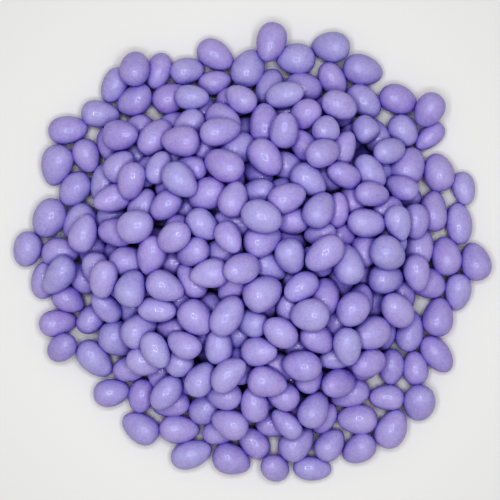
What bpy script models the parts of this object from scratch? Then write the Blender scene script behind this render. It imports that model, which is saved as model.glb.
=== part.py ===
"""A heap of sugared almonds, lying on a flat surface as it was poured.

Metres, +Z up. The origin is the middle of the heap's base, on the surface that it lies on.
The almonds are laid one by one, each into the lowest place that it finds, so that the heap
holds itself up. Those that show are then fused with a smaller solid core under them, and what
reaches below the floor is cut away, which leaves each almond on the floor a small flat to rest on.
"""

import bmesh
import bpy
import numpy as np

MM = 0.001
TURN = 2 * np.pi

# One almond: an egg with a thick end, about as thick as it is wide.
ALMOND_COUNT = 325
ALMOND_LENGTH = 24.2 * MM
LENGTH_SPREAD = 5 * MM
WIDTH_SHARE, WIDTH_SPREAD = 0.722, 0.17
THICKNESS_SHARE, THICKNESS_SPREAD = 0.94, 0.06
TAPER, TAPER_SPREAD = 0.12, 0.08

# The heap: how far it reaches at evenly spaced bearings, counter-clockwise from +X, and its mound,
# which rises over a rim where the almonds lie singly on the floor. One that lies on others near the
# rim would roll off them, so it pays for how far out it is.
OUTLINE = np.array([143, 144, 147, 141, 133, 135, 138, 136, 141, 130, 133, 136, 136, 147, 147, 141]) * MM
RIM_INSET = 6 * MM
PAST_RIM_SLOPE = 3
MOUND_RADIUS = 108 * MM
MOUND_RISE = 28 * MM
MOUND_POWER = 3
SPREAD_SLOPE = 0.02
ROLL_RADIUS = 112 * MM
ROLL_SLOPE = 0.2
FLOOR_LAYER = 12 * MM

# How an almond finds its place. It is stood for by five balls along its length.
SEED = 60
BALL_PLACES = np.array([-1, -0.5, 0, 0.5, 1])
BALL_SQUEEZE = 0.975
TRIED_SPOTS, KEPT_SPOTS = 60, 3
NUDGES = 16
NUDGE = np.array([5 * MM, 5 * MM, 0.5, 0.2])
NUDGE_SHRINK, LEAST_STRIDE = 0.8, 0.05
LEAST_GAIN = 1e-4 * MM
STEEPEST_TILT = 0.7
TILT_CHANGE = 0.2
WANDER = 32 * MM
NEIGHBOUR_REACH = 62 * MM
FLOOR_CLEARANCE = 1 * MM
SIDE_PRESS = 0.3 * MM
PLACE_DIGITS = 6

# The solid: almonds of six sides over the core. The profile is (along, girth) as shares of half the
# length and half the width, a little outside the egg so that the flat sides cut as much as they add.
SIDES = 6
PROFILE = ((-1.03, 0), (-0.8, 0.7), (0, 1.1), (0.8, 0.7), (1.03, 0))
UPRIGHT_STRETCH = 1.09
PLAN_CELL = 1 * MM
PLAN_MARGIN = 1.2
LEAST_SHOWN = 0.42
CORE_RADIUS = 105 * MM
CORE_BEARINGS, CORE_RINGS = 20, 6
CORE_LEVEL_RANK = 85
CORE_DROP = 3 * MM
LEAST_CORE_HEIGHT = 4 * MM
BELOW_FLOOR = 10 * MM
SLAB_SIDE = 1.0

SUGAR_COLOUR = (0.40, 0.31, 0.72, 1)
SUGAR_ROUGHNESS = 0.28


def outline_at(bearing):
    """How far the heap reaches at a bearing, eased from each value of the outline to the next."""
    place = np.asarray(bearing) / TURN * len(OUTLINE)
    low = np.floor(place).astype(int)
    part = place - low
    ease = part * part * (3 - 2 * part)
    return OUTLINE[low % len(OUTLINE)] * (1 - ease) + OUTLINE[(low + 1) % len(OUTLINE)] * ease


def bell(rng, count):
    """Random values from -1 to 1, most of them near 0."""
    return rng.random((count, 4)).mean(axis=1) * 2 - 1


def draw_sizes(rng):
    """Half lengths, half widths, half thicknesses and tapers of all the almonds, one row each."""
    length = ALMOND_LENGTH + LENGTH_SPREAD * bell(rng, ALMOND_COUNT)
    width = length * (WIDTH_SHARE + WIDTH_SPREAD * bell(rng, ALMOND_COUNT))
    thickness = width * (THICKNESS_SHARE + THICKNESS_SPREAD * bell(rng, ALMOND_COUNT))
    taper = TAPER + TAPER_SPREAD * (2 * rng.random(ALMOND_COUNT) - 1)
    return np.stack([length / 2, width / 2, thickness / 2, taper], axis=1)


def balls_inside(size):
    """Places along the axis and radii of the balls that fill one almond."""
    half_length, half_width, half_thickness, taper = size
    girth = (half_width + half_thickness) / 2
    slim = girth / half_length
    radii = girth * np.sqrt(1 - BALL_PLACES**2 * (1 - slim**2)) * (1 - taper * BALL_PLACES)
    ends = np.where(BALL_PLACES < 0, radii[0], radii[-1])
    return BALL_PLACES * (half_length - ends), radii * BALL_SQUEEZE


def direction(yaw, tilt):
    """Unit vector along an almond, from its thick end to its thin end."""
    return np.stack([np.cos(yaw) * np.cos(tilt), np.sin(yaw) * np.cos(tilt), np.sin(tilt)], axis=-1)


def rest_heights(poses, along, radii, laid):
    """How high the almond's middle comes to lie on the floor or on the laid balls, for each pose.

    A pose is x, y, yaw and tilt. A laid ball is x, y, z and radius. Where a ball of the almond is
    over a laid one, their distance is the sum of their radii, which gives the height.
    """
    axes = direction(poses[:, 2], poses[:, 3])
    rise = axes[:, 2:] * along
    heights = (radii - rise).max(axis=1)
    if len(laid):
        places = poses[:, None, :2] + axes[:, None, :2] * along[:, None]
        apart = ((places[:, :, None] - laid[:, :2]) ** 2).sum(axis=-1)
        room = (radii[:, None] + laid[:, 3]) ** 2 - apart
        lifted = laid[:, 2] + np.sqrt(np.maximum(room, 0)) - rise[:, :, None]
        heights = np.maximum(heights, np.where(room > 0, lifted, 0).max(axis=(1, 2)))
    return heights


def mound_at(share):
    """The mound's height over the rim. A share is a distance from the middle, as on a round heap."""
    return MOUND_RISE * np.maximum(1 - (share / MOUND_RADIUS) ** MOUND_POWER, 0) - SPREAD_SLOPE * share


def share_of(x, y):
    return np.hypot(x, y) * OUTLINE.mean() / outline_at(np.arctan2(y, x))


def efforts(poses, heights):
    """How far each pose lies over the mound, which an almond keeps as low as it can."""
    share = share_of(poses[:, 0], poses[:, 1])
    past_rim = np.maximum(share - (OUTLINE.mean() - RIM_INSET), 0)
    rolling = np.maximum(share - ROLL_RADIUS, 0) * (heights > FLOOR_LAYER)
    return heights - mound_at(share) + PAST_RIM_SLOPE * past_rim + ROLL_SLOPE * rolling


def scattered_poses(rng, along, radii, laid):
    """Random poses over the whole heap. Those that reach the floor lie flat on it."""
    bearing = rng.random(TRIED_SPOTS) * TURN
    distance = np.sqrt(rng.random(TRIED_SPOTS)) * outline_at(bearing)
    yaw = rng.random(TRIED_SPOTS) * TURN
    tilt = (2 * rng.random(TRIED_SPOTS) - 1) * STEEPEST_TILT
    poses = np.stack([distance * np.cos(bearing), distance * np.sin(bearing), yaw, 0 * yaw], axis=1)
    on_floor = rest_heights(poses, along, radii, laid) < radii.max() + FLOOR_CLEARANCE
    poses[:, 3] = np.where(on_floor, 0, tilt)
    return poses


def settle(rng, pose, along, radii, laid):
    """Nudge the almond at random and keep what lets it sink, with ever shorter nudges once it is wedged."""
    start = pose.copy()
    near = laid[np.hypot(*(laid[:, :2] - start[:2]).T) < NEIGHBOUR_REACH]
    lowest = efforts(pose[None], rest_heights(pose[None], along, radii, near))[0]
    stride = 1.0
    while stride > LEAST_STRIDE:
        tries = pose + (2 * rng.random((NUDGES, 4)) - 1) * NUDGE * stride
        tries[:, 3] = np.clip(tries[:, 3], start[3] - TILT_CHANGE, start[3] + TILT_CHANGE)
        effort = efforts(tries, rest_heights(tries, along, radii, near))
        effort[np.hypot(*(tries[:, :2] - start[:2]).T) > WANDER] = np.inf
        best = int(np.argmin(effort))
        if effort[best] < lowest - LEAST_GAIN:
            pose, lowest = tries[best], effort[best]
        else:
            stride *= NUDGE_SHRINK
    return lowest, pose


def press_sideways(places, radii, laid):
    """The sideways step that presses an almond on the floor against its nearest neighbour."""
    apart = laid[:, :3] - places[:, None]
    gap = np.linalg.norm(apart, axis=-1) - radii[:, None] - laid[:, 3]
    own, other = np.unravel_index(np.argmin(gap), gap.shape)
    way = apart[own, other, :2]
    return way / np.linalg.norm(way) * max(gap[own, other] + SIDE_PRESS, 0)


def lay_heap():
    """Sizes, middles and axes of all the almonds, in the order in which they are laid."""
    rng = np.random.default_rng(SEED)
    sizes = draw_sizes(rng)
    middles, axes = np.zeros((ALMOND_COUNT, 3)), np.zeros((ALMOND_COUNT, 3))
    laid = np.zeros((0, 4))
    for i, size in enumerate(sizes):
        along, radii = balls_inside(size)
        poses = scattered_poses(rng, along, radii, laid)
        effort = efforts(poses, rest_heights(poses, along, radii, laid))
        kept = np.argsort(effort, kind="stable")[:KEPT_SPOTS]
        settled = [settle(rng, poses[k], along, radii, laid) for k in kept]
        pose = min(settled, key=lambda result: result[0])[1]
        height = rest_heights(pose[None], along, radii, laid)[0]
        axes[i] = direction(pose[2], pose[3])
        middle = np.array([pose[0], pose[1], height])
        if len(laid) and height < radii.max() + FLOOR_CLEARANCE:
            middle[:2] += press_sideways(middle + along[:, None] * axes[i], radii, laid)
        middles[i] = np.round(middle, PLACE_DIGITS)
        places = middles[i] + along[:, None] * axes[i]
        laid = np.concatenate([laid, np.column_stack([places, radii])])
    return sizes, middles, axes


def side_axes(axis):
    """The level axis across an almond, and the one across both, which points up."""
    level = np.cross([0, 0, 1], axis)
    level /= np.linalg.norm(level)
    return level, np.cross(axis, level)


def shown_shares(sizes, middles, axes):
    """How much of each almond shows from above, as a share of the floor that it covers.

    The plan is a grid of small cells. Over each, an almond's top is where its ellipsoid's equation,
    a quadratic in z, has its higher root, and the highest almond there is the one that shows.
    """
    half = int(np.ceil(OUTLINE.max() * PLAN_MARGIN / PLAN_CELL))
    top = np.zeros((2 * half, 2 * half))
    owner = np.full(top.shape, -1)
    covered = np.zeros(len(sizes))
    for i, (size, middle, axis) in enumerate(zip(sizes, middles, axes)):
        frame = np.stack([axis, *side_axes(axis)])
        form = frame.T @ np.diag(size[:3] ** -2.0) @ frame
        reach = int(np.ceil(size[0] / PLAN_CELL)) + 1
        column, row = (np.round(middle[:2] / PLAN_CELL)).astype(int) + half
        window = np.s_[row - reach : row + reach, column - reach : column + reach]
        dy, dx = np.mgrid[window] * PLAN_CELL - half * PLAN_CELL
        dx, dy = dx - middle[0], dy - middle[1]
        linear = form[0, 2] * dx + form[1, 2] * dy
        constant = form[0, 0] * dx**2 + 2 * form[0, 1] * dx * dy + form[1, 1] * dy**2 - 1
        inside = linear**2 - form[2, 2] * constant
        height = middle[2] + (np.sqrt(np.maximum(inside, 0)) - linear) / form[2, 2]
        covered[i] = (inside > 0).sum()
        higher = (inside > 0) & (height > top[window])
        top[window][higher] = height[higher]
        owner[window][higher] = i
    shown = np.bincount(owner[owner >= 0], minlength=len(sizes))
    return shown / covered


def mesh_object(name, bm):
    """Turn a bmesh into an object's mesh, with its faces pointing out."""
    bm.normal_update()
    bmesh.ops.recalc_face_normals(bm, faces=bm.faces)
    mesh = bpy.data.meshes.new(name)
    bm.to_mesh(mesh)
    bm.free()
    return bpy.data.objects.new(name, mesh)


def skinned(name, rings):
    """A closed mesh over rings of points. A ring of one point is a tip, and a wider last ring is capped."""
    bm = bmesh.new()
    loops = [[bm.verts.new(point) for point in ring] for ring in rings]
    for first, second in zip(loops, loops[1:]):
        for k in range(max(len(first), len(second))):
            around = (first, k), (second, k), (second, k + 1), (first, k + 1)
            corners = [ring[place % len(ring)] for ring, place in around]
            bm.faces.new(list(dict.fromkeys(corners)))
    if len(loops[-1]) > 1:
        bm.faces.new(loops[-1])
    return mesh_object(name, bm)


def add_almond(name, size, middle, axis):
    """One almond: six-sided rings along its axis, each as wide as the egg is there.

    Two of its six ridges lie level, so that neighbours on the floor meet on them, and its top and
    bottom are flat. They are stretched upwards, as a hexagon is lower than it is wide.
    """
    half_length, half_width, half_thickness, taper = size
    level, upward = side_axes(axis)
    turns = (np.arange(SIDES) * TURN / SIDES)[:, None]
    rings = []
    for along, girth in PROFILE:
        girth *= 1 - taper * along
        across = level * half_width * np.cos(turns)
        over = upward * half_thickness * UPRIGHT_STRETCH * np.sin(turns)
        ring = middle + axis * half_length * along + (across + over) * girth
        rings.append(ring if girth else ring[:1])
    return skinned(name, rings)


def add_core(name, level):
    """The solid under the almonds that show, a little lower than their middles, with a flat foot."""
    bearings = np.arange(CORE_BEARINGS) * TURN / CORE_BEARINGS
    toward = np.stack([np.cos(bearings), np.sin(bearings), 0 * bearings], axis=1)
    reach = (outline_at(bearings) / OUTLINE.mean())[:, None]
    rings = [[(0, 0, level + mound_at(0) - CORE_DROP)]]
    for share in CORE_RADIUS * np.arange(1, CORE_RINGS + 1) / CORE_RINGS:
        height = max(LEAST_CORE_HEIGHT, level + mound_at(share) - CORE_DROP)
        rings.append(toward * reach * share + (0, 0, height))
    rings.append(toward * reach * CORE_RADIUS - (0, 0, BELOW_FLOOR))
    return skinned(name, rings)


def add_floor_slab():
    """A block whose top is the floor, to cut away what reaches below it."""
    bm = bmesh.new()
    bmesh.ops.create_cube(bm, size=SLAB_SIDE)
    bmesh.ops.translate(bm, vec=(0, 0, -SLAB_SIDE / 2), verts=bm.verts)
    return mesh_object("floor_slab", bm)


def apply_boolean(obj, operation, others):
    """Join or cut with all the objects of others at once, then remove them."""
    collection = bpy.data.collections.new(operation.lower())
    for other in others:
        collection.objects.link(other)
    boolean = obj.modifiers.new(operation.lower(), "BOOLEAN")
    boolean.operation = operation
    boolean.operand_type = "COLLECTION"
    boolean.collection = collection
    boolean.solver = "MANIFOLD"
    with bpy.context.temp_override(object=obj):
        bpy.ops.object.modifier_apply(modifier=boolean.name)
    for other in others:
        bpy.data.objects.remove(other)
    bpy.data.collections.remove(collection)


def sugar_material():
    """Smooth lavender sugar, glossy but not wet."""
    material = bpy.data.materials.new("sugar_shell")
    material.use_nodes = True
    shader = material.node_tree.nodes["Principled BSDF"]
    shader.inputs["Base Color"].default_value = SUGAR_COLOUR
    shader.inputs["Roughness"].default_value = SUGAR_ROUGHNESS
    shader.inputs["Metallic"].default_value = 0
    return material


def build_heap():
    sizes, middles, axes = lay_heap()
    shown = shown_shares(sizes, middles, axes)
    share = share_of(middles[:, 0], middles[:, 1])
    over_mound = middles[:, 2] - mound_at(share)
    heap = add_core("almond_heap", np.percentile(over_mound, CORE_LEVEL_RANK))
    bpy.context.scene.collection.objects.link(heap)
    on_rim = share > CORE_RADIUS
    fused = np.flatnonzero((shown >= LEAST_SHOWN) | on_rim)
    almonds = [add_almond(f"almond_{i}", sizes[i], middles[i], axes[i]) for i in fused]
    apply_boolean(heap, "UNION", almonds)
    apply_boolean(heap, "DIFFERENCE", [add_floor_slab()])
    heap.data.materials.clear()
    heap.data.materials.append(sugar_material())
    print(f"{len(almonds)} of {ALMOND_COUNT} almonds show, {heap.dimensions.z / MM:.1f} mm high")


def main():
    for obj in list(bpy.data.objects):
        bpy.data.objects.remove(obj)
    build_heap()


main()
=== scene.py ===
# %% [markdown]
# # A heap of sugared almonds
#
# Each sweet is a nut under a thick, smooth shell of lavender sugar, plump as an egg and about 24 mm
# long. About three hundred of them lie on a pale table: three or four deep in the middle, one deep at
# the rim, where the table shows between them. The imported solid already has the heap's size and outline,
# with six-sided almonds fused on a core. Here the same almonds are laid again at the same places by the
# same rule, and drawn as smooth eggs, so the looks fit the solid.

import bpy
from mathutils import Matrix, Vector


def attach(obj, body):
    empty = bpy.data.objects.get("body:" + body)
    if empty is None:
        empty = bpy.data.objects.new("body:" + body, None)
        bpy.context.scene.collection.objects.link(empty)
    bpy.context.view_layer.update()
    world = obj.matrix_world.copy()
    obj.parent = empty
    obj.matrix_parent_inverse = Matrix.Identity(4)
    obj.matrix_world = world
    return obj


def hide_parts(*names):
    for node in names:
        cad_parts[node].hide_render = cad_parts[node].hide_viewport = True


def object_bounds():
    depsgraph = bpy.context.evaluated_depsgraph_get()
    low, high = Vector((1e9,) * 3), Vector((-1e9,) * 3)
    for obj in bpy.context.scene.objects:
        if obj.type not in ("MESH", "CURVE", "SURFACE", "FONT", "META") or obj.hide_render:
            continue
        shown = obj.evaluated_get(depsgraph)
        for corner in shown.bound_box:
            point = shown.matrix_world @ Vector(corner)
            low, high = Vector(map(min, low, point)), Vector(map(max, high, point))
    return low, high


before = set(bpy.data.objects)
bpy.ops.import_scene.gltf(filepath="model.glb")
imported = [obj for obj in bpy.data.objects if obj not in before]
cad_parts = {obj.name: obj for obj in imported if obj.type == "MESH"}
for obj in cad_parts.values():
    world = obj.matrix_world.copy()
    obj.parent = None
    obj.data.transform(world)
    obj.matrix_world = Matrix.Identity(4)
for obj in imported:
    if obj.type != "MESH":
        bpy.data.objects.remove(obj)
cad_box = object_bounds()
print("packed heap, corners in metres:", [[round(c, 4) for c in corner] for corner in cad_box])

import bpy
import numpy as np
from mathutils import Vector

MM = 0.001
TURN = 2 * np.pi

# %% [markdown]
# ## The outline of the heap
#
# Poured sweets spread to an uneven round. The outline is a list of reaches at evenly spaced bearings,
# eased from each value to the next, so that there are no corners. A place in the heap is then given by
# its share: its distance from the middle, as it would be if the heap were evenly round.

# %% Reach at any bearing
OUTLINE = np.array([143, 144, 147, 141, 133, 135, 138, 136, 141, 130, 133, 136, 136, 147, 147, 141]) * MM


def outline_at(bearing):
    """Reach at a bearing: between two values a and b it is a + (b - a) * (3 t^2 - 2 t^3)."""
    place = np.asarray(bearing) / TURN * len(OUTLINE)
    low = np.floor(place).astype(int)
    part = place - low
    ease = part * part * (3 - 2 * part)
    return OUTLINE[low % len(OUTLINE)] * (1 - ease) + OUTLINE[(low + 1) % len(OUTLINE)] * ease


def share_of(x, y):
    """Distance from the middle times the mean reach, divided by the reach at that bearing."""
    return np.hypot(x, y) * OUTLINE.mean() / outline_at(np.arctan2(y, x))


print(f"the heap reaches {OUTLINE.min() / MM:.0f} to {OUTLINE.max() / MM:.0f} mm from its middle")

# %% [markdown]
# ## The sizes of the almonds
#
# No two nuts are alike, and the sugar builds up unevenly on them. Each almond gets a length, a width
# and a thickness of its own, and a taper that makes one end thinner. The draws are seeded and come in
# the same order as in the solid's script, which is what keeps both heaps the same.

# %% Draw the sizes
ALMOND_COUNT = 325
ALMOND_LENGTH = 24.2 * MM
LENGTH_SPREAD = 5 * MM
WIDTH_SHARE, WIDTH_SPREAD = 0.722, 0.17
THICKNESS_SHARE, THICKNESS_SPREAD = 0.94, 0.06
TAPER, TAPER_SPREAD = 0.12, 0.08
SEED = 60


def bell(rng, count):
    """Random values from -1 to 1, most of them near 0: the mean of four even draws, stretched."""
    return rng.random((count, 4)).mean(axis=1) * 2 - 1


def draw_sizes(rng):
    """Half lengths, half widths, half thicknesses and tapers of all the almonds, one row each."""
    length = ALMOND_LENGTH + LENGTH_SPREAD * bell(rng, ALMOND_COUNT)
    width = length * (WIDTH_SHARE + WIDTH_SPREAD * bell(rng, ALMOND_COUNT))
    thickness = width * (THICKNESS_SHARE + THICKNESS_SPREAD * bell(rng, ALMOND_COUNT))
    taper = TAPER + TAPER_SPREAD * (2 * rng.random(ALMOND_COUNT) - 1)
    return np.stack([length / 2, width / 2, thickness / 2, taper], axis=1)


laying_rng = np.random.default_rng(SEED)
sizes = draw_sizes(laying_rng)
print(f"{len(sizes)} almonds, {2 * sizes[:, 0].mean() / MM:.1f} mm long and "
      f"{2 * sizes[:, 1].mean() / MM:.1f} mm wide on average")

# %% [markdown]
# ## Laying them
#
# A rigid body simulation could pour the heap, but it is slow and hard to steer. Instead the almonds are
# laid one by one. Five balls along its length stand for an almond, because the height at which one ball
# comes to rest on another is a short formula. Each almond tries a few random spots, sinks into the best
# of them by small random nudges, and stays where it is lowest, measured against a mound that leaves
# the rim one layer deep.

# %% Five balls in each almond
BALL_PLACES = np.array([-1, -0.5, 0, 0.5, 1])
BALL_SQUEEZE = 0.975


def balls_inside(size):
    """Places along the axis, and radii: girth * sqrt(1 - s^2 * (1 - slim^2)) * (1 - taper * s)."""
    half_length, half_width, half_thickness, taper = size
    girth = (half_width + half_thickness) / 2
    slim = girth / half_length
    radii = girth * np.sqrt(1 - BALL_PLACES**2 * (1 - slim**2)) * (1 - taper * BALL_PLACES)
    ends = np.where(BALL_PLACES < 0, radii[0], radii[-1])
    return BALL_PLACES * (half_length - ends), radii * BALL_SQUEEZE


def direction(yaw, tilt):
    """Unit vector along an almond, from its thick end to its thin end."""
    return np.stack([np.cos(yaw) * np.cos(tilt), np.sin(yaw) * np.cos(tilt), np.sin(tilt)], axis=-1)


# %% How high an almond comes to rest
def rest_heights(poses, along, radii, laid):
    """Height of the almond's middle for each pose, which is x, y, yaw and tilt.

    On the floor a ball's middle is as high as its radius. Over a laid ball it is higher than that one
    by sqrt((r1 + r2)^2 - d^2), where d is how far apart they are in plan. The highest of them counts.
    """
    axes = direction(poses[:, 2], poses[:, 3])
    rise = axes[:, 2:] * along
    heights = (radii - rise).max(axis=1)
    if len(laid):
        places = poses[:, None, :2] + axes[:, None, :2] * along[:, None]
        apart = ((places[:, :, None] - laid[:, :2]) ** 2).sum(axis=-1)
        room = (radii[:, None] + laid[:, 3]) ** 2 - apart
        lifted = laid[:, 2] + np.sqrt(np.maximum(room, 0)) - rise[:, :, None]
        heights = np.maximum(heights, np.where(room > 0, lifted, 0).max(axis=(1, 2)))
    return heights


# %% The mound that they fill
RIM_INSET = 6 * MM
PAST_RIM_SLOPE = 3
MOUND_RADIUS = 108 * MM
MOUND_RISE = 28 * MM
MOUND_POWER = 3
SPREAD_SLOPE = 0.02
ROLL_RADIUS = 112 * MM
ROLL_SLOPE = 0.2
FLOOR_LAYER = 12 * MM


def mound_at(share):
    """Height of the mound over the rim: rise * (1 - (share / radius)^3), less a slight slope outwards."""
    return MOUND_RISE * np.maximum(1 - (share / MOUND_RADIUS) ** MOUND_POWER, 0) - SPREAD_SLOPE * share


def efforts(poses, heights):
    """How far each pose lies over the mound, plus 3 times how far it is past the rim.

    One that lies on others near the rim would roll off them. It pays 0.2 of how far out it is.
    """
    share = share_of(poses[:, 0], poses[:, 1])
    past_rim = np.maximum(share - (OUTLINE.mean() - RIM_INSET), 0)
    rolling = np.maximum(share - ROLL_RADIUS, 0) * (heights > FLOOR_LAYER)
    return heights - mound_at(share) + PAST_RIM_SLOPE * past_rim + ROLL_SLOPE * rolling


# %% Random spots to try
TRIED_SPOTS, KEPT_SPOTS = 60, 3
STEEPEST_TILT = 0.7
FLOOR_CLEARANCE = 1 * MM


def scattered_poses(rng, along, radii, laid):
    """Random poses over the whole heap. Those that reach the floor lie flat on it."""
    bearing = rng.random(TRIED_SPOTS) * TURN
    distance = np.sqrt(rng.random(TRIED_SPOTS)) * outline_at(bearing)
    yaw = rng.random(TRIED_SPOTS) * TURN
    tilt = (2 * rng.random(TRIED_SPOTS) - 1) * STEEPEST_TILT
    poses = np.stack([distance * np.cos(bearing), distance * np.sin(bearing), yaw, 0 * yaw], axis=1)
    on_floor = rest_heights(poses, along, radii, laid) < radii.max() + FLOOR_CLEARANCE
    poses[:, 3] = np.where(on_floor, 0, tilt)
    return poses


# %% Sinking by nudges
NUDGES = 16
NUDGE = np.array([5 * MM, 5 * MM, 0.5, 0.2])
NUDGE_SHRINK, LEAST_STRIDE = 0.8, 0.05
LEAST_GAIN = 1e-4 * MM
TILT_CHANGE = 0.2
WANDER = 32 * MM
NEIGHBOUR_REACH = 62 * MM


def settle(rng, pose, along, radii, laid):
    """Nudge the almond at random and keep the nudge that lets it sink most, else shorten the nudges."""
    start = pose.copy()
    near = laid[np.hypot(*(laid[:, :2] - start[:2]).T) < NEIGHBOUR_REACH]
    lowest = efforts(pose[None], rest_heights(pose[None], along, radii, near))[0]
    stride = 1.0
    while stride > LEAST_STRIDE:
        tries = pose + (2 * rng.random((NUDGES, 4)) - 1) * NUDGE * stride
        tries[:, 3] = np.clip(tries[:, 3], start[3] - TILT_CHANGE, start[3] + TILT_CHANGE)
        effort = efforts(tries, rest_heights(tries, along, radii, near))
        effort[np.hypot(*(tries[:, :2] - start[:2]).T) > WANDER] = np.inf
        best = int(np.argmin(effort))
        if effort[best] < lowest - LEAST_GAIN:
            pose, lowest = tries[best], effort[best]
        else:
            stride *= NUDGE_SHRINK
    return lowest, pose


# %% Pressing those on the floor together
SIDE_PRESS = 0.3 * MM


def press_sideways(places, radii, laid):
    """The sideways step that presses an almond on the floor against its nearest neighbour."""
    apart = laid[:, :3] - places[:, None]
    gap = np.linalg.norm(apart, axis=-1) - radii[:, None] - laid[:, 3]
    own, other = np.unravel_index(np.argmin(gap), gap.shape)
    way = apart[own, other, :2]
    return way / np.linalg.norm(way) * max(gap[own, other] + SIDE_PRESS, 0)


# %% Lay them all, one by one
PLACE_DIGITS = 6


def lay_almonds(rng, sizes):
    """Middles and axes of the almonds, in the order in which they are laid."""
    middles, axes = np.zeros((len(sizes), 3)), np.zeros((len(sizes), 3))
    laid = np.zeros((0, 4))
    for i, size in enumerate(sizes):
        along, radii = balls_inside(size)
        poses = scattered_poses(rng, along, radii, laid)
        effort = efforts(poses, rest_heights(poses, along, radii, laid))
        kept = np.argsort(effort, kind="stable")[:KEPT_SPOTS]
        settled = [settle(rng, poses[k], along, radii, laid) for k in kept]
        pose = min(settled, key=lambda result: result[0])[1]
        height = rest_heights(pose[None], along, radii, laid)[0]
        axes[i] = direction(pose[2], pose[3])
        middle = np.array([pose[0], pose[1], height])
        if len(laid) and height < radii.max() + FLOOR_CLEARANCE:
            middle[:2] += press_sideways(middle + along[:, None] * axes[i], radii, laid)
        middles[i] = np.round(middle, PLACE_DIGITS)
        places = middles[i] + along[:, None] * axes[i]
        laid = np.concatenate([laid, np.column_stack([places, radii])])
    return middles, axes


middles, axes = lay_almonds(laying_rng, sizes)
print(f"the highest almond's middle lies {middles[:, 2].max() / MM:.1f} mm over the table")

# %% [markdown]
# ## A ball of six grids
#
# An egg could be a globe of meridians, but these pinch at its poles, and a glossy shell shows that. So
# the ball is a cube swelled round: six (u, v) grids with no poles. It has only 54 faces, because it
# is repeated 325 times, and a Subdivision modifier makes them smooth later.

# %% The ball, as unit vectors
GRID = 3


def ball_of_grids(across):
    """Points and faces of a unit ball. A side's point (u, v) is (1, tan u, tan v), divided by its length.

    u and v run from -45 to 45 degrees in even steps, so the grid is even too. The other sides are the
    same one with its axes changed round, and with u and v swapped where the sign changes, so that all
    the faces point outwards. Points that two sides share are then merged.
    """
    steps = np.tan(np.linspace(-1, 1, across + 1) * TURN / 8)
    u, v = np.meshgrid(steps, steps, indexing="ij")
    pair = np.stack([0 * u + 1, u, v], axis=-1), np.stack([0 * u - 1, v, u], axis=-1)
    sides = np.array([np.roll(side, turn, axis=-1) for turn in range(3) for side in pair])
    points = (sides / np.linalg.norm(sides, axis=-1, keepdims=True)).reshape(-1, 3)
    merged, number = np.unique(np.round(points, PLACE_DIGITS), axis=0, return_inverse=True)
    corner = np.arange(6 * (across + 1) ** 2).reshape(6, across + 1, across + 1)
    ring = corner[:, :-1, :-1], corner[:, 1:, :-1], corner[:, 1:, 1:], corner[:, :-1, 1:]
    return merged, number.ravel()[np.stack(ring, axis=-1).reshape(-1, 4)]


ball, ball_faces = ball_of_grids(GRID)
print(f"a ball of {len(ball)} points and {len(ball_faces)} faces")

# %% [markdown]
# ## From ball to almond
#
# An egg is a ball stretched three ways and made thinner towards one end. Most of these are plain eggs,
# and a soft unevenness keeps each from looking turned on a lathe. A few came out odd: bent like a bean,
# dimpled, waisted, or broken to a stub. Every form is a formula over all almonds and points at once.

# %% The odd ones
LOOKS_SEED = 7
BEANS, DIMPLED, WAISTED, STUBS = 9, 10, 6, 2

looks_rng = np.random.default_rng(LOOKS_SEED)
shuffled = looks_rng.permutation(ALMOND_COUNT)
beans, dimpled, waisted, stubs = np.split(shuffled[: BEANS + DIMPLED + WAISTED + STUBS],
                                          np.cumsum([BEANS, DIMPLED, WAISTED]))
odd = np.isin(np.arange(ALMOND_COUNT), shuffled[: BEANS + DIMPLED + WAISTED + STUBS])
print(f"{odd.sum()} of {ALMOND_COUNT} almonds are misshapen")

# %% Soft unevenness
WAVES = 5
WAVE_PITCH = 1.5
LUMP_HEIGHT = 0.05


def lumps(rng, points, count):
    """One plus height * the mean of a few sines over the ball, each with its own direction and phase."""
    way = rng.normal(size=(count, WAVES, 3)) * WAVE_PITCH
    phase = rng.random((count, WAVES, 1)) * TURN
    return 1 + LUMP_HEIGHT * np.sin(way @ points.T + phase).mean(axis=1)


# %% Dents
DENT_DEPTH, DENT_REACH = 0.02, 0.5
DIMPLE_DEPTH, DIMPLE_REACH = 0.13, 0.33
BEAN_DEPTH, BEAN_REACH = 0.12, 0.6
BEAN_STRAY = 0.2


def dents(rng, points, count):
    """One less depth * exp(-(d / reach)^2), where d is the distance on the ball from the dent's middle.

    Every almond has a shallow dent somewhere. A dimple lies on the upper side, where it shows, and a
    bean is hollow on one flank, give or take a little stray.
    """
    way = rng.normal(size=(count, 3))
    way[dimpled, 2] = np.abs(way[dimpled]).sum(axis=1)
    way[beans] = BEAN_STRAY * way[beans] + (0, 1, 0)
    way /= np.linalg.norm(way, axis=1, keepdims=True)
    depth, reach = np.full((count, 1), DENT_DEPTH), np.full((count, 1), DENT_REACH)
    depth[dimpled], reach[dimpled] = DIMPLE_DEPTH, DIMPLE_REACH
    depth[beans], reach[beans] = BEAN_DEPTH, BEAN_REACH
    apart = np.linalg.norm(points - way[:, None], axis=-1)
    return 1 - depth * np.exp(-((apart / reach) ** 2))


# %% Blunt ends, bends and waists
TAPER_SHOWN = 1.25
BLUNTNESS, BLUNTNESS_SPREAD = 0.03, 0.12
STUB_BLUNTNESS = 0.5
STUB_LENGTH = 0.72
BEND_SPREAD, BEAN_BEND = 0.05, 0.2
WAIST_DEPTH, WAIST_REACH = 0.12, 0.34
NEAR_TIP = 0.05


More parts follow.
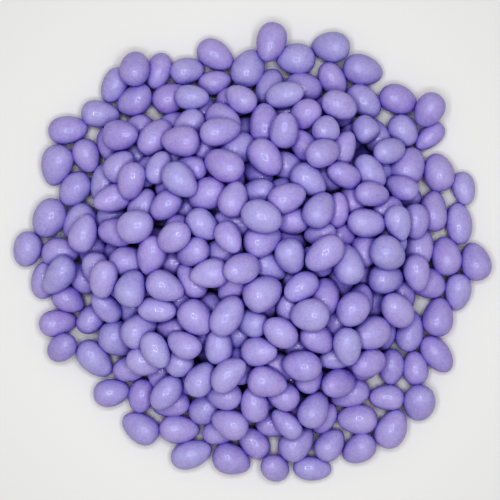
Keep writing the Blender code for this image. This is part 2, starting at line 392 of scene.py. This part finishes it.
def almond_surfaces(rng, points, sizes):
    """Local points of every almond, x along it, y across and z over, as an array (almond, point, 3).

    x is half the length times the ball's x. y and z are half the width and half the thickness times the
    ball's y and z, times 1 - shown * taper * x, times (1 - x^2)^(-blunt / 2), which fills out the ends.
    The share shown is 1.25, of which the smoothing leaves about 1.1, so the eggs taper a little more than
    those of the solid. A waist takes a share of depth * exp(-(x / reach)^2) off y and z. Stubs are shorter.
    All is times the lumps and the dents, and then a bend moves y by bend * (x^2 - 1/3) of half the width.
    """
    count = len(sizes)
    half_length, half_width, half_thickness, taper = sizes.T[:, :, None]
    blunt = (BLUNTNESS + BLUNTNESS_SPREAD * bell(rng, count))[:, None]
    blunt[stubs] = STUB_BLUNTNESS
    bend = (BEND_SPREAD * bell(rng, count))[:, None]
    bend[beans] = -BEAN_BEND
    waist = np.zeros((count, 1))
    waist[waisted] = WAIST_DEPTH
    stretch = np.ones((count, 1))
    stretch[stubs] = STUB_LENGTH
    x, y, z = points.T
    girth = (1 - TAPER_SHOWN * taper * x) * np.maximum(1 - x**2, NEAR_TIP) ** (-blunt / 2)
    girth = girth * (1 - waist * np.exp(-((x / WAIST_REACH) ** 2)))
    relief = lumps(rng, points, count) * dents(rng, points, count)
    along = half_length * stretch * x * relief
    across = half_width * (y * girth * relief + bend * (x**2 - 1 / 3))
    over = half_thickness * z * girth * relief
    return np.stack([along, across, over], axis=-1)


# %% Cages, and the way up
DRAWN_SHARE = 0.98
PULL_AT_SIDES, PULL_AT_CORNERS = 0.9128, 0.9335


def cage_factor(points):
    """How much larger the coarse cage has to be, as subdividing it draws the surface in.

    On a unit ball the surface falls to 0.9128 at the middle of a side, where the sum of the fourth
    powers of x, y and z is 1, and to 0.9335 at a corner, where it is 1/3.
    """
    toward_side = ((points**4).sum(axis=1) - 1 / 3) / (1 - 1 / 3)
    return 1 / (PULL_AT_CORNERS + (PULL_AT_SIDES - PULL_AT_CORNERS) * toward_side)


def side_axes(axes):
    """For each almond the level axis across it, and the one across both, which points up."""
    level = np.cross([0, 0, 1], axes)
    level /= np.linalg.norm(level, axis=1, keepdims=True)
    return level, np.cross(axes, level)


# %% Put every almond in its place
# No point lies lower than the foot, so the flat bellies lie a hair over the table and not in it.
FOOT = 0.05 * MM


def steps_back(points):
    """How far each almond has to step back, in x and y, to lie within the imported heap's box."""
    low, high = np.array(cad_box)[:, :2]
    past_low = np.maximum(low - points[..., :2].min(axis=1), 0)
    past_high = np.maximum(points[..., :2].max(axis=1) - high, 0)
    return np.pad(past_low - past_high, ((0, 0), (0, 1)))


local = almond_surfaces(looks_rng, ball, sizes) * DRAWN_SHARE * cage_factor(ball)[:, None]
turned = np.stack([axes, *side_axes(axes)], axis=1)
surfaces = local @ turned + middles[:, None]
surfaces += steps_back(surfaces)[:, None]
surfaces[..., 2] = np.maximum(surfaces[..., 2], FOOT)
print(f"{surfaces.shape[0]} cages, up to {surfaces[..., 2].max() / MM:.1f} mm high")

# %% [markdown]
# ## The sugar shell
#
# The shell is panned on in many thin coats, so it is smooth and lavender all through, with a polish
# that is glossy but not wet. Its colour changes a little from one almond to the next, in tone and between
# a bluer and a pinker lavender, which each almond carries as attributes. On each one there are soft pale
# clouds and a fine frost, where the sugar has dried unevenly. Close up the polish has a fine orange peel,
# stronger on some almonds, and there are a few tiny specks.

# %% A helper that adds one node
def add_node(tree, kind, links=None, **values):
    """A new node. Values go to its own settings or else to its inputs. Links give inputs their sockets."""
    node = tree.nodes.new(kind)
    for name, value in values.items():
        if hasattr(node, name):
            setattr(node, name, value)
        else:
            node.inputs[name.replace("_", " ")].default_value = value
    for name, socket in (links or {}).items():
        tree.links.new(socket, node.inputs[name])
    return node


# %% Helpers that mix colours and do sums
COLOUR_A, COLOUR_B, COLOUR_OUT = 6, 7, 2


def mixed(tree, share, first, second, **settings):
    """From the first colour to the second by a share. The first is a colour or another node's socket."""
    mix = add_node(tree, "ShaderNodeMix", {"Factor": share}, data_type="RGBA", **settings)
    if isinstance(first, tuple):
        mix.inputs[COLOUR_A].default_value = first
    else:
        tree.links.new(first, mix.inputs[COLOUR_A])
    mix.inputs[COLOUR_B].default_value = second
    return mix.outputs[COLOUR_OUT]


def worked_out(tree, operation, *values):
    """What a Math node makes of its values, which are numbers or other nodes' sockets."""
    node = add_node(tree, "ShaderNodeMath", operation=operation)
    for slot, value in enumerate(values):
        if isinstance(value, float):
            node.inputs[slot].default_value = value
        else:
            tree.links.new(value, node.inputs[slot])
    return node.outputs[0]


# %% The sugar finish
PALE_SUGAR = (0.575, 0.565, 0.785, 1)
DEEP_SUGAR = (0.325, 0.285, 0.635, 1)
SPECK_SUGAR = (0.30, 0.23, 0.60, 1)
WARM_SHARE = (1, 0.905, 0.985, 1)
CLOUD_SCALE, CLOUD_DETAIL, CLOUD_ROUGHNESS = 130, 5, 0.8
CLOUD_SHARE, FROST_SHARE = 0.8, 0.55
SPECK_SCALE, SPECK_RADIUS, SPECK_RARITY = 420, 0.16, 0.95
PEEL_SCALE, PEEL_DETAIL, PEEL_HEIGHT = 800, 2, 0.02 * MM
SWELL_SCALE, SWELL_DETAIL, SWELL_HEIGHT = 190, 1, 0.02 * MM
SHELL = {"Roughness": 0.5, "Specular IOR Level": 0.3}
POLISH = {"Coat Weight": 0.105, "Coat IOR": 2.2, "Coat Roughness": 0.12}


def sugar_finish():
    """A dull lavender shell under a thin polish.

    The share of pale sugar is 0.8 * cloud + 0.55 * frost + the tone attribute: each almond's own tone,
    and painted shade on the core beneath. Specks are dots of the cells whose own random value is high.
    Warmth takes some of the green away. The frost's noise, times the almond's peel, and a wider swell
    also lift the skin.
    """
    material = bpy.data.materials.new("sugar_shell")
    material.use_nodes = True
    tree = material.node_tree
    shader = tree.nodes["Principled BSDF"]
    place = add_node(tree, "ShaderNodeTexCoord").outputs["Object"]
    tone_and_shade = add_node(tree, "ShaderNodeAttribute", attribute_name="tone_and_shade").outputs["Fac"]
    peel = add_node(tree, "ShaderNodeAttribute", attribute_name="peel").outputs["Fac"]
    warmth = add_node(tree, "ShaderNodeAttribute", attribute_name="warmth").outputs["Fac"]

    cloud = add_node(tree, "ShaderNodeTexNoise", {"Vector": place}, Scale=CLOUD_SCALE,
                     Detail=CLOUD_DETAIL, Roughness=CLOUD_ROUGHNESS)
    skin = add_node(tree, "ShaderNodeTexNoise", {"Vector": place}, Scale=PEEL_SCALE, Detail=PEEL_DETAIL)
    clouded = worked_out(tree, "MULTIPLY_ADD", cloud.outputs["Fac"], CLOUD_SHARE, tone_and_shade)
    frosted = worked_out(tree, "MULTIPLY_ADD", skin.outputs["Fac"], FROST_SHARE, clouded)
    body = mixed(tree, frosted, DEEP_SUGAR, PALE_SUGAR)

    cells = add_node(tree, "ShaderNodeTexVoronoi", {"Vector": place}, Scale=SPECK_SCALE)
    near = worked_out(tree, "LESS_THAN", cells.outputs["Distance"], SPECK_RADIUS)
    rare = worked_out(tree, "GREATER_THAN", cells.outputs["Color"], SPECK_RARITY)
    specked = mixed(tree, worked_out(tree, "MULTIPLY", near, rare), body, SPECK_SUGAR)
    warmed = mixed(tree, warmth, specked, WARM_SHARE, blend_type="MULTIPLY")
    tree.links.new(warmed, shader.inputs["Base Color"])

    swell = add_node(tree, "ShaderNodeTexNoise", {"Vector": place}, Scale=SWELL_SCALE, Detail=SWELL_DETAIL)
    wide = add_node(tree, "ShaderNodeBump", {"Height": swell.outputs["Fac"]}, Distance=SWELL_HEIGHT)
    fine = add_node(tree, "ShaderNodeBump", {"Height": skin.outputs["Fac"], "Strength": peel,
                                             "Normal": wide.outputs["Normal"]}, Distance=PEEL_HEIGHT)
    tree.links.new(fine.outputs["Normal"], shader.inputs["Normal"])
    tree.links.new(fine.outputs["Normal"], shader.inputs["Coat Normal"])

    for name, value in {**SHELL, **POLISH}.items():
        shader.inputs[name].default_value = value
    return material


sugar = sugar_finish()
print("finish:", sugar.name, "with", len(sugar.node_tree.nodes), "nodes")

# %% [markdown]
# ## The pieces
#
# One mesh for each kind of almond: plump or slender, large or small, and the misshapen ones. Each mesh
# is filled from whole arrays, as the points of the ball repeat with one offset for each almond. Three
# attributes give each almond its own tone, orange peel and warmth.

# %% Tone, peel and warmth of each almond
TONE, TONE_SPREAD = -0.175, 0.17
PEEL_POWER = 5
WARMTH, WARMTH_SPREAD = 0.5, 0.8

tone = TONE + TONE_SPREAD * bell(looks_rng, ALMOND_COUNT)
peel = looks_rng.random(ALMOND_COUNT) ** PEEL_POWER
warmth = np.clip(WARMTH + WARMTH_SPREAD * bell(looks_rng, ALMOND_COUNT), 0, 1)
print(f"warmth from {warmth.min():.2f} to {warmth.max():.2f}")

# %% Meshes from whole arrays
SMOOTH_LEVEL = 2


def mesh_piece(name, points, faces, values):
    """A mesh object that rides on the heap's body and takes its finish from the sugar."""
    mesh = bpy.data.meshes.new(name)
    mesh.from_pydata(points, [], faces)
    for title, numbers in values.items():
        mesh.attributes.new(title, "FLOAT", "POINT").data.foreach_set("value", numbers)
    mesh.shade_smooth()
    mesh.materials.append(sugar)
    piece = bpy.data.objects.new(name, mesh)
    bpy.context.scene.collection.objects.link(piece)
    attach(piece, "root")
    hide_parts("almond_heap")
    return piece


def almond_piece(name, chosen):
    """All the chosen almonds in one mesh: almond k's faces are the ball's, moved on by k * points."""
    points = surfaces[chosen].reshape(-1, 3)
    faces = (ball_faces + np.arange(len(chosen))[:, None, None] * len(ball)).reshape(-1, 4)
    own = {"tone_and_shade": tone, "peel": peel, "warmth": warmth}
    values = {title: np.repeat(numbers[chosen], len(ball)) for title, numbers in own.items()}
    piece = mesh_piece(name, points.tolist(), faces.tolist(), values)
    smooth = piece.modifiers.new("smooth", "SUBSURF")
    smooth.levels = smooth.render_levels = SMOOTH_LEVEL
    print(f"{name}: {len(chosen)} almonds, {len(faces) * 2 * 4**SMOOTH_LEVEL} triangles")
    return piece


# %% The five kinds
width_share = sizes[:, 1] / sizes[:, 0]
plump = width_share > np.median(width_share)
large = sizes[:, 0] > np.median(sizes[:, 0])
almond_piece("large_plump_almonds", np.flatnonzero(large & plump & ~odd))
almond_piece("small_plump_almonds", np.flatnonzero(~large & plump & ~odd))
almond_piece("large_slender_almonds", np.flatnonzero(large & ~plump & ~odd))
almond_piece("small_slender_almonds", np.flatnonzero(~large & ~plump & ~odd))
almond_piece("misshapen_almonds", np.flatnonzero(odd))

# %% [markdown]
# ## What lies beneath
#
# Between the almonds one looks down on others, and the eye should never meet the table there. A low
# dome with bumps of almond size fills the middle of the heap, well below the almonds that show. It has
# the deepest tone, as next to no light gets down to the almonds that it stands for.

# %% The core
# Of the almonds' middles, 85 in 100 lie lower over the mound than the core's level.
CORE_RADIUS = 96 * MM
CORE_RINGS, CORE_BEARINGS = 24, 96
CORE_LEVEL_RANK = 85
CORE_DEPTH, CORE_LEAST = 34 * MM, 4 * MM
CORE_BUMP, CORE_BUMP_PITCH = 1.5 * MM, 20 * MM
CORE_EDGE_POWER = 6
# Painted shade: a tone of -1 holds the whole core at the deep sugar colour.
CORE_PAINTED_SHADE = -1


def core_surface():
    """A closed dome. Ring u of v bearings lies at share u * radius, as high as the mound less a depth.

    Bumps of sin * sin stand in for almonds, and it is nowhere below a least height, until the edge, where
    all falls to nothing as 1 - u^6. One fan of faces from the outer ring to the middle closes it below.
    """
    over_mound = middles[:, 2] - mound_at(share_of(middles[:, 0], middles[:, 1]))
    level = np.percentile(over_mound, CORE_LEVEL_RANK)
    u = np.linspace(0, 1, CORE_RINGS + 1)[1:, None]
    bearing = np.arange(CORE_BEARINGS)[None] * TURN / CORE_BEARINGS
    reach = u * CORE_RADIUS * outline_at(bearing) / OUTLINE.mean()
    x, y = reach * np.cos(bearing), reach * np.sin(bearing)
    bump = CORE_BUMP * np.sin(x * TURN / CORE_BUMP_PITCH) * np.sin(y * TURN / CORE_BUMP_PITCH)
    height = np.maximum(level + mound_at(u * CORE_RADIUS) - CORE_DEPTH + bump, CORE_LEAST)
    top = np.stack([x, y, height * (1 - u**CORE_EDGE_POWER)], axis=-1)
    middle_height = level + mound_at(0) - CORE_DEPTH
    points = np.concatenate([top.reshape(-1, 3), [[0, 0, middle_height], [0, 0, 0]]])
    place = np.arange(CORE_RINGS * CORE_BEARINGS).reshape(CORE_RINGS, CORE_BEARINGS)
    after = np.roll(place, -1, axis=1)
    quads = np.stack([place[:-1], place[1:], after[1:], after[:-1]], axis=-1).reshape(-1, 4)
    crown = np.stack([place[0], after[0], 0 * place[0] + place.size], axis=-1)
    foot = np.stack([after[-1], place[-1], 0 * place[0] + place.size + 1], axis=-1)
    return points, quads.tolist() + crown.tolist() + foot.tolist()


core_points, core_faces = core_surface()
# The core's tone attribute carries the painted shade.
core_own = {"tone_and_shade": CORE_PAINTED_SHADE, "peel": 0, "warmth": WARMTH}
core_values = {title: np.full(len(core_points), float(number)) for title, number in core_own.items()}
mesh_piece("almonds_beneath", core_points.tolist(), core_faces, core_values)
print(f"core: {len(core_faces)} faces, {core_points[:, 2].max() / MM:.1f} mm high")

# %% [markdown]
# ## Table, light and camera
#
# The table is plain and nearly white. The highlights are small squarish rings near the middle of every
# almond, so the main light was a square ring round the lens: here it is four strip lamps, with a large
# soft light over them and an even glow from the room. The camera looks straight down.

# %% The table
TABLE_SIDE = 30.0
TABLE_COLOUR = (0.80, 0.80, 0.785, 1)
TABLE_ROUGHNESS = 0.6

table_mesh = bpy.data.meshes.new("table")
half = TABLE_SIDE / 2
corners = [(-half, -half, 0), (half, -half, 0), (half, half, 0), (-half, half, 0)]
table_mesh.from_pydata(corners, [], [(0, 1, 2, 3)])
table_finish = bpy.data.materials.new("pale_table")
table_finish.use_nodes = True
table_shader = table_finish.node_tree.nodes["Principled BSDF"]
table_shader.inputs["Base Color"].default_value = TABLE_COLOUR
table_shader.inputs["Roughness"].default_value = TABLE_ROUGHNESS
table_mesh.materials.append(table_finish)
table = bpy.data.objects.new("table", table_mesh)
bpy.context.scene.collection.objects.link(table)

# %% Lamps
STRIPS, STRIP_REACH, STRIP_HEIGHT = 4, 0.14, 0.65
STRIP_SIZE, STRIP_POWER = (0.27, 0.018), 0.36
SOFT_SIZE, SOFT_HEIGHT, SOFT_POWER = (1.3, 1.3), 1.6, 2.1
GLOW_COLOUR, GLOW_STRENGTH = (1, 1, 1, 1), 0.28


def add_lamp(name, place, size, power):
    """A flat lamp at a place, aimed at the heap's middle. Its longer side lies level."""
    data = bpy.data.lights.new(name, "AREA")
    data.shape = "RECTANGLE"
    data.size, data.size_y = size
    data.energy = power
    lamp = bpy.data.objects.new(name, data)
    lamp.location = place
    lamp.rotation_mode = "QUATERNION"
    lamp.rotation_quaternion = (-Vector(place)).to_track_quat("-Z", "Y")
    bpy.context.scene.collection.objects.link(lamp)


for k in range(STRIPS):
    bearing = k * TURN / STRIPS
    place = STRIP_REACH * np.cos(bearing), STRIP_REACH * np.sin(bearing), STRIP_HEIGHT
    add_lamp(f"strip_lamp_{k}", place, STRIP_SIZE, STRIP_POWER)
add_lamp("soft_lamp", (0, 0, SOFT_HEIGHT), SOFT_SIZE, SOFT_POWER)

world = bpy.data.worlds.new("room_glow")
world.use_nodes = True
background = world.node_tree.nodes["Background"]
background.inputs["Color"].default_value = GLOW_COLOUR
background.inputs["Strength"].default_value = GLOW_STRENGTH
bpy.context.scene.world = world
print(f"{STRIPS} strip lamps and one soft lamp")

# %% [markdown]
# ## The tones of the picture
#
# The photo's gaps are nearly black while the sugar's own tones are soft, as a camera's own curve makes
# them. So the look has high contrast, and a curve draws down the tones below a fifth, where the gaps
# are, and leaves the others almost as they are. It changes the picture alone, not the almonds.

# %% The tone curve
TONE_CURVE = ((0.05, 0.03), (0.11, 0.088), (0.23, 0.23), (0.3, 0.305), (0.38, 0.37), (0.48, 0.48))
ALL_CHANNELS = 3

view_settings = bpy.context.scene.view_settings
view_settings.view_transform = "Standard"
view_settings.look = "Very High Contrast"
view_settings.use_curve_mapping = True
tones = view_settings.curve_mapping
tones.initialize()
tones.use_clip = False
tones.extend = "EXTRAPOLATED"
for shade, shown in TONE_CURVE:
    tones.curves[ALL_CHANNELS].points.new(shade, shown)
tones.update()
print(f"a tone curve through {len(tones.curves[ALL_CHANNELS].points)} points")

# %% Camera
FRAME_SIDE = 310 * MM
CAMERA_HEIGHT = 0.65
CAMERA_OFFSET = 1.9 * MM, 1.2 * MM

camera_data = bpy.data.cameras.new("camera")
camera_data.sensor_fit = "HORIZONTAL"
camera_data.angle = 2 * np.arctan(FRAME_SIDE / 2 / CAMERA_HEIGHT)
camera = bpy.data.objects.new("camera", camera_data)
camera.location = (*CAMERA_OFFSET, CAMERA_HEIGHT)
bpy.context.scene.collection.objects.link(camera)
bpy.context.scene.camera = camera
print(f"the camera sees {np.degrees(camera_data.angle):.1f} degrees")
